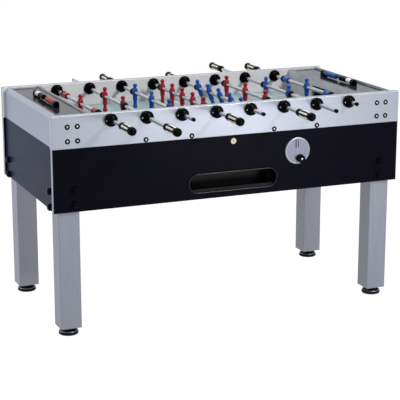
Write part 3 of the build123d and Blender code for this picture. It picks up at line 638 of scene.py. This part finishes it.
class FOOSBALL_OT_playing_top(FoosballOperator, bpy.types.Operator):
    """Rails, field, decks, bearings with their noses and screws, and score racks"""
    bl_idname = "foosball.playing_top"
    bl_label = "Playing top"

    NOSE_PROFILE = [(8.3, -1.0), (12.2, -1.0), (11.8, 9.0), (10.4, 13.0), (8.3, 13.0)]
    PAD_PROFILE = [(3.5, -6.0), (3.5, -0.4), (3.1, 0.0), (0.01, 0.0)]
    SCREW_PROFILE = [(2.4, -0.5), (2.4, 0.8), (1.9, 1.5), (0.9, 1.8), (0.01, 1.85)]
    # How far a bearing's screws stand from the rod's axis, and behind the tip of the dome
    SCREW_OUT = 23.2 * MM
    SCREW_BACK = 7 * MM

    def execute(self, context):
        paint(("side_rails",), "rail")
        self.end_rails()
        paint(("playfield",), "field")
        paint(("end_walls",), "wall")
        paint(("end_decks",), "deck")
        paint(("rod_bearings", "score_racks"), "black")
        paint(("white_score_beads",), "white")
        paint(("red_score_beads",), "red")
        paint(("blue_score_beads",), "blue")
        paint(("upper_hinges_and_catch",), "zinc")
        self.bearing_trim()
        return {"FINISHED"}

    def end_rails(self):
        """End rails with a chamfered outer edge, and the deck's laminate carried over their top."""
        low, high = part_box("end_rails")
        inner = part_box("end_decks")[1][0]
        chamfer = sizes().end_chamfer
        soft = 3 * MM
        tangent = soft * math.tan(math.radians(22.5))
        outline = [(inner, high[2]), (inner, low[2]), (high[0], low[2])]
        corners = (
            (high[0] - soft, high[2] - chamfer - tangent, (0, 22.5, 45)),
            (high[0] - chamfer - tangent, high[2] - soft, (45, 67.5, 90)),
        )
        for x, z, angles in corners:
            for a in map(math.radians, angles):
                outline.append((x + soft * math.cos(a), z + soft * math.sin(a)))
        bm = bmesh.new()
        for side in (-1, 1):
            ends = [[bm.verts.new((side * x, y, z)) for x, z in outline] for y in (low[1], high[1])]
            join_rings(bm, ends)
        for face in bm.faces:
            middle = face.calc_center_median()
            if middle.z > high[2] - TOUCH:
                face.material_index = 1
            # The inner faces take pale grey, painted light over their shade
            elif abs(middle.x) < inner + TOUCH:
                face.material_index = 2
            # The chamfer faces take the paler silver, a painted highlight along the top edge
            elif middle.z > high[2] - chamfer:
                face.material_index = 3
        # Per face: rail silver toned darker as painted shade, the deck, pale grey painted light on the inner
        # faces, and paler silver as a painted highlight on the chamfer
        finishes = [MATERIALS[key] for key in ("silver", "deck", "painted_light_face", "painted_highlight_foil")]
        obj = finish_mesh("chamfered_end_rails", bm, finishes)
        ride(obj, "playing_top")
        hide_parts("end_rails")

    def bearing_trim(self):
        """A nose round each rod on its bearing, and two screws on pads in the bearing's shoulders."""
        low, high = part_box("rod_bearings")
        axes = [rod_axis(number) for number, _, _ in rods()]
        for where, side, tip in (("front", -1, low[1]), ("rear", 1, high[1])):
            turn = facing((0, 0, 0), (0, side, 0))
            bm = bmesh.new()
            lathe_ring(bm, self.NOSE_PROFILE, turn, count=32)
            points = [(x, tip, z) for x, z in axes]
            scatter(f"{where}_bearing_noses", points, bm, "black", "playing_top")
            seat = tip - side * self.SCREW_BACK
            points = [(x + s * self.SCREW_OUT, seat, z) for x, z in axes for s in (-1, 1)]
            bm = bmesh.new()
            lathe(bm, self.PAD_PROFILE, turn, count=20)
            scatter(f"{where}_bearing_pads", points, bm, "black", "playing_top")
            bm = bmesh.new()
            lathe(bm, self.SCREW_PROFILE, turn, count=16)
            scatter(f"{where}_bearing_screws", points, bm, "zinc", "playing_top")


class FOOSBALL_OT_rail_screws(FoosballOperator, bpy.types.Operator):
    """Screws in cup washers on both long rails, and the screws of the hinges"""
    bl_idname = "foosball.rail_screws"
    bl_label = "Rail screws"

    # Corner screws: below the rail's top and out from the middle. Lower row: above its bottom and out
    CORNER_DROPS = (44 * MM, 101 * MM)
    CORNER_OUT = (662 * MM, 703 * MM)
    LOWER_RISE = 11 * MM
    LOWER_OUT = (183 * MM, 379 * MM)
    # Hinge screws: off the hinge line, off the board's face, and about a leaf's middle
    HINGE_OFF = 29 * MM
    LEAF_T = 2.5 * MM
    LEAF_HALF = 45 * MM
    LEAF_SCREWS = (-30 * MM, 0.0, 30 * MM)

    def execute(self, context):
        low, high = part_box("side_rails")
        spots = [(s * x, high[2] - z) for s in (-1, 1) for x in self.CORNER_OUT for z in self.CORNER_DROPS]
        spots += [(s * x, low[2] + self.LOWER_RISE) for s in (-1, 1) for x in self.LOWER_OUT]
        cup = sizes().screw_d / 2 / MM
        head = sizes().screw_head_d / 2 / MM
        cup_profile = [
            (head + 0.3, 0.4), (cup - 1, 0.1), (cup, 0.3), (cup - 0.6, 1.4), (head + 1.2, 2.2),
            (head + 0.3, 1.6),
        ]
        for where, side, y in (("front", -1, low[1]), ("rear", 1, high[1])):
            points = [(x, y, z) for x, z in spots]
            turn = facing((0, 0, 0), (0, side, 0))
            bm = bmesh.new()
            lathe_ring(bm, cup_profile, turn, count=28)
            scatter(f"{where}_screw_cups", points, bm, "black", "playing_top")
            bm = bmesh.new()
            self.head(bm, head, turn)
            scatter(f"{where}_screw_heads", points, bm, "zinc", "playing_top")
        self.hinge_screws("hinge_lower_leaves", "cabinet", "rear_panel", -1)
        self.hinge_screws("upper_hinges_and_catch", "playing_top", "side_rails", 1)
        return {"FINISHED"}

    def hinge_screws(self, leaves, body, board, up):
        """Three small screws in each hinge leaf at the back."""
        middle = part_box(leaves)[1][0] - self.LEAF_HALF
        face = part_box(board)[1][1] + self.LEAF_T
        z = frame["joints"][0]["pos_m"][2] + up * self.HINGE_OFF
        points = [(side * middle + x, face, z) for side in (-1, 1) for x in self.LEAF_SCREWS]
        bm = bmesh.new()
        self.head(bm, 4.2, facing((0, 0, 0), (0, 1, 0)))
        scatter(f"{body}_hinge_screws", points, bm, "dark_steel", body)

    def head(self, bm, radius, turn):
        """A pan head with a cross recess."""
        profile = [(radius, 0.2), (radius, 1.2), (radius * 0.8, 2.2), (radius * 0.45, 2.6), (0.01, 2.7)]
        lathe(bm, profile, turn, count=24)
        arm, half_width, level = radius * 0.55 * MM, 0.7 * MM, 2.75 * MM
        for a in (0.0, math.pi / 2):
            cross = turn @ Matrix.Rotation(a, 4, "Z")
            corners = [(s * arm, t * half_width, level) for s, t in ((-1, -1), (1, -1), (1, 1), (-1, 1))]
            bm.faces.new([bm.verts.new(cross @ Vector(corner)) for corner in corners])


class FOOSBALL_OT_players(FoosballOperator, bpy.types.Operator):
    """Moulded players on every rod, in place of the plain CAD ones"""
    bl_idname = "foosball.players"
    bl_label = "Players"

    # Height, half depth along X and half width along Y of each section, in millimetres
    BODY = [
        (-68, 7.2, 8.2), (-67, 8.8, 9.6), (-63, 9.6, 10.4), (-58, 9.4, 10.2), (-54.5, 8.2, 9.0),
        (-51, 7.2, 8.2), (-45, 6.8, 7.8), (-38, 7.6, 9.2), (-34.5, 8.2, 10.0), (-33.5, 9.2, 11.0),
        (-26, 9.8, 11.6), (-19, 9.4, 10.8), (-17.5, 10.0, 11.0), (-8, 11.2, 11.8), (4, 11.9, 13.2),
        (11, 11.2, 14.0), (16, 9.8, 13.2), (19, 7.8, 9.6), (20.8, 6.2, 6.4), (22.4, 6.0, 6.0),
        (24, 7.2, 7.2), (26.5, 9.0, 9.0), (30, 9.9, 9.8), (33.5, 9.2, 9.2), (36.4, 7.2, 7.2),
        (38.4, 4.2, 4.2), (39.2, 1.2, 1.2),
    ]
    NECK = 20
    # Height, radius and place along Y of an arm's sections, in millimetres
    ARM = [
        (14.5, 3.2, 9.6), (8, 4.0, 10.2), (-4, 3.6, 10.4), (-14, 3.3, 10.6), (-20, 3.0, 10.4),
        (-23, 1.8, 10.2),
    ]
    HUB_PROFILE = [(8.1, -14), (10.4, -14), (11.4, -13), (11.4, 13), (10.4, 14), (8.1, 14)]
    # A solid longer than this along the rod is a goalkeeper's sleeve
    SLEEVE_LENGTH = 40 * MM

    def execute(self, context):
        for number, team, body in rods():
            self.rod_of_men(f"{body}_{team}_men", number, team, body)
        return {"FINISHED"}

    def rod_of_men(self, node, number, team, body):
        """All the men of one rod as one piece, each where its CAD solid is."""
        tilt = Matrix.Rotation(self.tilt(node), 4, "Y")
        axis_x, axis_z = rod_axis(number)
        bm = bmesh.new()
        for y0, y1 in solid_spans(NODES[node]):
            middle = (axis_x, (y0 + y1) / 2, axis_z)
            if y1 - y0 > self.SLEEVE_LENGTH:
                self.sleeve(bm, (y1 - y0) / 2 / MM, middle)
            else:
                self.man(bm, Matrix.Translation(middle) @ tilt)
        obj = finish_mesh(f"{node}_moulded", bm, [MATERIALS[team]], smooth=60)
        smooth = obj.modifiers.new("Smooth", "SUBSURF")
        smooth.levels = smooth.render_levels = 1
        bake(obj)
        obj.data.shade_smooth()
        ride(obj, body)
        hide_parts(node)

    def tilt(self, node):
        """How far a rod is turned at rest, from the places of its men's heads and feet."""
        end_depth, upright_width, end_radii = 4 * MM, 40 * MM, 20 * MM
        low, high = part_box(node)
        if high[0] - low[0] < upright_width:
            return 0.0
        points = [vert.co for vert in NODES[node].data.vertices]
        top = [co.x for co in points if co.z > high[2] - end_depth]
        bottom = [co.x for co in points if co.z < low[2] + end_depth]
        lean = sum(top) / len(top) - sum(bottom) / len(bottom)
        return math.atan2(lean, high[2] - low[2] - end_radii)

    def man(self, bm, place):
        """One player: legs, trunk and head in one skin, with arms and the hub that grips the rod."""
        before = set(bm.verts)
        join_rings(bm, [oval(bm, z, x, y, power=2.5 if z < self.NECK else 2.0) for z, x, y in self.BODY])
        for side in (-1, 1):
            sections = []
            for z, r, y in self.ARM:
                ring = oval(bm, z, r * 1.2, r, count=12)
                for vert in ring:
                    vert.co.y += side * y * MM
                sections.append(ring)
            join_rings(bm, sections)
        lathe(bm, self.HUB_PROFILE, facing((0, 0, 0), (0, 1, 0)), count=24)
        bmesh.ops.transform(bm, matrix=place, verts=[v for v in bm.verts if v not in before])

    def sleeve(self, bm, half, middle):
        """A goalkeeper's coloured stop sleeve with a rib at each end."""
        rib = [(8.1, 0), (12.6, 0), (13.8, 1.2), (13.8, 5), (13.0, 6)]
        profile = [(radius, along - half) for radius, along in rib]
        profile += [(radius, half - along) for radius, along in reversed(rib)]
        lathe(bm, profile, facing(middle, (0, 1, 0)), count=32)


class FOOSBALL_OT_rods(FoosballOperator, bpy.types.Operator):
    """Chrome tubes, rubber stops and black grips with cream inlays"""
    bl_idname = "foosball.rods"
    bl_label = "Rods and grips"

    FLUTES = 6
    # Distance from the grip's free end, and height of an inlay over the rod's axis, in millimetres
    INLAY_PATH = [
        (31.6, 13.4), (33, 14.6), (42, 15.6), (56, 16.2), (67, 16.3), (78, 16.2), (92, 15.6), (101, 14.6),
        (102.6, 13.4),
    ]
    INLAY_FLOOR = 13.1

    def execute(self, context):
        for number, team, body in rods():
            paint((f"{body}_tube",), "chrome")
            paint((f"{body}_bumpers",), "rubber")
            paint((f"{body}_handle",), "black")
            self.inlays(number, body, -1 if team == "red" else 1)
        return {"FINISHED"}

    def inlays(self, number, body, side):
        """Cream strips let into the flutes of a grip."""
        x, z = rod_axis(number)
        low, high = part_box(f"{body}_handle")
        end = low[1] if side < 0 else high[1]
        half = sizes().inlay_w / 2 / MM
        bm = bmesh.new()
        for step in range(self.FLUTES):
            turn = Matrix.Rotation(math.radians(360 / self.FLUTES * step), 4, "Y")
            rings = []
            for along, height in self.INLAY_PATH:
                y = end - side * along * MM
                section = [
                    (-half, self.INLAY_FLOOR), (-half, height - 0.5), (-half * 0.6, height),
                    (half * 0.6, height), (half, height - 0.5), (half, self.INLAY_FLOOR),
                ]
                ring = []
                for across, up in section:
                    point = turn @ Vector((across * MM, 0, up * MM))
                    ring.append(bm.verts.new((x + point.x, y, z + point.z)))
                rings.append(ring)
            join_rings(bm, rings)
        ride(finish_mesh(f"{body}_grip_inlays", bm, [MATERIALS["cream"]]), body)


class FOOSBALL_OT_front_fittings(FoosballOperator, bpy.types.Operator):
    """Ball tray, coin plate, knob, lock and the release bar behind them"""
    bl_idname = "foosball.front_fittings"
    bl_label = "Front fittings"

    STUD_PROFILE = [(4.5, -1), (4.5, 0.6), (3.6, 1.4), (1.8, 1.8), (0.01, 1.9)]
    RING_PROFILE = [(51.0, -0.5), (54.6, -0.5), (54.6, 0.6), (53.6, 1.4), (52.0, 1.4), (51.0, 0.6)]
    KNOB_R = 17 * MM
    PLATE_PROUD = 4 * MM
    # The tray's bead: its radius, how far it sits inside the rim, and its steps round the mouth and the bead
    BEAD_R = 2.2 * MM
    BEAD_INSET = 3 * MM
    MOUTH_STEPS = 64
    BEAD_STEPS = 10

    def execute(self, context):
        paint(("ball_tray",), "tray")
        paint(("coin_mechanism",), "coin_steel")
        paint(("lock_barrel", "lock_plug"), "nickel")
        paint(("coin_knob",), "black")
        paint(("release_bar",), "zinc")
        self.knob_stud()
        self.plate_ring()
        self.tray_bead()
        return {"FINISHED"}

    def knob_stud(self):
        """The bright stud in the middle of the coin knob."""
        low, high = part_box("coin_knob")
        centre = (high[0] - self.KNOB_R, low[1], low[2] + self.KNOB_R)
        bm = bmesh.new()
        lathe(bm, self.STUD_PROFILE, facing(centre, (0, -1, 0)), count=24)
        ride(finish_mesh("coin_knob_stud", bm, [MATERIALS["chrome"]]), "coin_knob")

    def plate_ring(self):
        """A polished bead round the coin plate."""
        low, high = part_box("coin_mechanism")
        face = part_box("front_panel")[0][1] - self.PLATE_PROUD
        centre = ((low[0] + high[0]) / 2, face, (low[2] + high[2]) / 2)
        bm = bmesh.new()
        lathe_ring(bm, self.RING_PROFILE, facing(centre, (0, -1, 0)), count=72)
        ride(finish_mesh("coin_plate_ring", bm, [MATERIALS["zinc"]]), "cabinet")

    def tray_bead(self):
        """A glossy bead round the mouth of the ball tray."""
        low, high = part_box("ball_tray")
        half_height = (high[2] - low[2]) / 2
        middle = (low[2] + high[2]) / 2
        straight = (high[0] - low[0]) / 2 - half_height
        forward = Vector((0, -1, 0))
        bm = bmesh.new()
        rings = []
        for step in range(self.MOUTH_STEPS):
            a = 2 * math.pi * (step + 0.5) / self.MOUTH_STEPS
            out = Vector((math.cos(a), 0, math.sin(a)))
            end = Vector((math.copysign(straight, out.x), low[1], middle))
            at = end + out * (half_height - self.BEAD_INSET)
            ring = []
            for turn in range(self.BEAD_STEPS):
                b = 2 * math.pi * turn / self.BEAD_STEPS
                ring.append(bm.verts.new(at + (out * math.cos(b) + forward * math.sin(b)) * self.BEAD_R))
            rings.append(ring)
        join_rings(bm, rings + rings[:1], capped=False)
        ride(finish_mesh("ball_tray_bead", bm, [MATERIALS["tray_rim"]]), "cabinet")


class FOOSBALL_OT_stage(FoosballOperator, bpy.types.Operator):
    """Pale floor, soft lights and the camera at the photograph's angle"""
    bl_idname = "foosball.stage"
    bl_label = "Stage"

    # The camera, fitted to the photograph: place in metres, turn and dip in degrees, and lens in mm
    CAMERA = (-2.2714, -5.4842, 1.9342)
    TURN = 22.572
    DIP = 14.359
    LENS = 126.34
    # Name, place and aim in metres, width and height in metres, watts, and tint
    WHITE = (1.0, 1.0, 1.0)
    COOL = (0.86, 0.92, 1.0)
    LIGHTS = (
        ("key", (2.3, -4.8, 3.8), (0.2, 0, 0.75), (0.7, 0.7), 275, WHITE),
        ("left_fill", (-5.5, -1.0, 2.4), (-0.4, 0, 0.6), (3.0, 3.0), 56, COOL),
        ("rail_glow", (1.12, -3.1, 0.35), (0.05, -0.375, 0.84), (1.0, 0.8), 13.5, WHITE),
        ("rear_left", (-2.0, 0.55, 0.7), (-0.74, 0.4, 0.6), (0.5, 0.5), 7, COOL),
        ("top", (0.0, 1.0, 5.0), (0, 0, 0.8), (3.0, 3.0), 150, WHITE),
    )
    FLOOR_HALF = 30.0
    # Share of plain white in the floor where it is seen; the rest shows the shadow
    FLOOR_WHITE = 0.93
    FLOOR_GLOW = 1.06
    SKY_LIGHT = 0.35

    def execute(self, context):
        self.floor()
        for light in self.LIGHTS:
            self.area(*light)
        self.world(context.scene)
        self.camera(context.scene)
        return {"FINISHED"}

    def floor(self):
        """A pale floor that is white to the camera and keeps the table's shadow."""
        bm = bmesh.new()
        bmesh.ops.create_grid(bm, x_segments=2, y_segments=2, size=self.FLOOR_HALF)
        material = bpy.data.materials.new("pale_floor")
        material.use_nodes = True
        tree = material.node_tree
        tree.nodes.clear()
        lit = add(tree, "ShaderNodeBsdfDiffuse", {"Color": (0.8, 0.8, 0.8, 1)})
        glow = add(tree, "ShaderNodeEmission", {"Color": (1, 1, 1, 1), "Strength": self.FLOOR_GLOW})
        share = add(tree, "ShaderNodeMath", (background_rays(tree), self.FLOOR_WHITE), operation="MULTIPLY")
        mix = add(tree, "ShaderNodeMixShader", (share, lit, glow))
        add(tree, "ShaderNodeOutputMaterial", {"Surface": mix})
        finish_mesh("floor", bm, [material])

    def area(self, name, place, aim, size, power, tint):
        """A soft rectangular lamp."""
        light = bpy.data.lights.new(name, "AREA")
        light.shape = "RECTANGLE"
        light.size, light.size_y = size
        light.energy = power
        light.color = tint
        obj = bpy.data.objects.new(name, light)
        obj.matrix_world = facing(place, Vector(place) - Vector(aim))
        bpy.context.scene.collection.objects.link(obj)

    def world(self, scene):
        """White to the camera and in reflections, and a softer white as light."""
        world = bpy.data.worlds.new("white_studio")
        world.use_nodes = True
        tree = world.node_tree
        tree.nodes.clear()
        level = add(tree, "ShaderNodeMapRange", {
            "Value": background_rays(tree), "To Min": self.SKY_LIGHT, "To Max": 1.0,
        })
        background = add(tree, "ShaderNodeBackground", {"Color": (1, 1, 1, 1), "Strength": level})
        add(tree, "ShaderNodeOutputWorld", {"Surface": background})
        scene.world = world

    def camera(self, scene):
        """The camera, with plain view settings."""
        data = bpy.data.cameras.new("photo_camera")
        data.lens = self.LENS
        data.sensor_width = 36.0
        obj = bpy.data.objects.new("photo_camera", data)
        obj.location = self.CAMERA
        obj.rotation_euler = (math.radians(90 - self.DIP), 0, math.radians(-self.TURN))
        scene.collection.objects.link(obj)
        scene.camera = obj
        scene.view_settings.view_transform = "Standard"


class FOOSBALL_PT_panel(bpy.types.Panel):
    """Sizes, colours and the steps that dress the table"""
    bl_idname = "FOOSBALL_PT_panel"
    bl_label = "Foosball table"
    bl_space_type = "VIEW_3D"
    bl_region_type = "UI"
    bl_category = "Foosball"

    def draw(self, context):
        layout = self.layout
        for group in (context.scene.foosball_sizes, context.scene.foosball_colours):
            for name in group.__annotations__:
                layout.prop(group, name)
        for step in STEPS:
            layout.operator(step.bl_idname)


STEPS = (
    FOOSBALL_OT_cabinet,
    FOOSBALL_OT_playing_top,
    FOOSBALL_OT_rail_screws,
    FOOSBALL_OT_players,
    FOOSBALL_OT_rods,
    FOOSBALL_OT_front_fittings,
    FOOSBALL_OT_stage,
)
CLASSES = (FoosballSizes, FoosballColours, *STEPS, FOOSBALL_PT_panel)


def register():
    for cls in CLASSES:
        bpy.utils.register_class(cls)
    bpy.types.Scene.foosball_sizes = bpy.props.PointerProperty(type=FoosballSizes)
    bpy.types.Scene.foosball_colours = bpy.props.PointerProperty(type=FoosballColours)


def unregister():
    del bpy.types.Scene.foosball_colours
    del bpy.types.Scene.foosball_sizes
    for cls in reversed(CLASSES):
        bpy.utils.unregister_class(cls)


def main():
    register()
    MATERIALS.update(make_materials())
    bpy.ops.foosball.cabinet()
    bpy.ops.foosball.playing_top()
    bpy.ops.foosball.rail_screws()
    bpy.ops.foosball.players()
    bpy.ops.foosball.rods()
    bpy.ops.foosball.front_fittings()
    bpy.ops.foosball.stage()


if __name__ == "__main__":
    main()
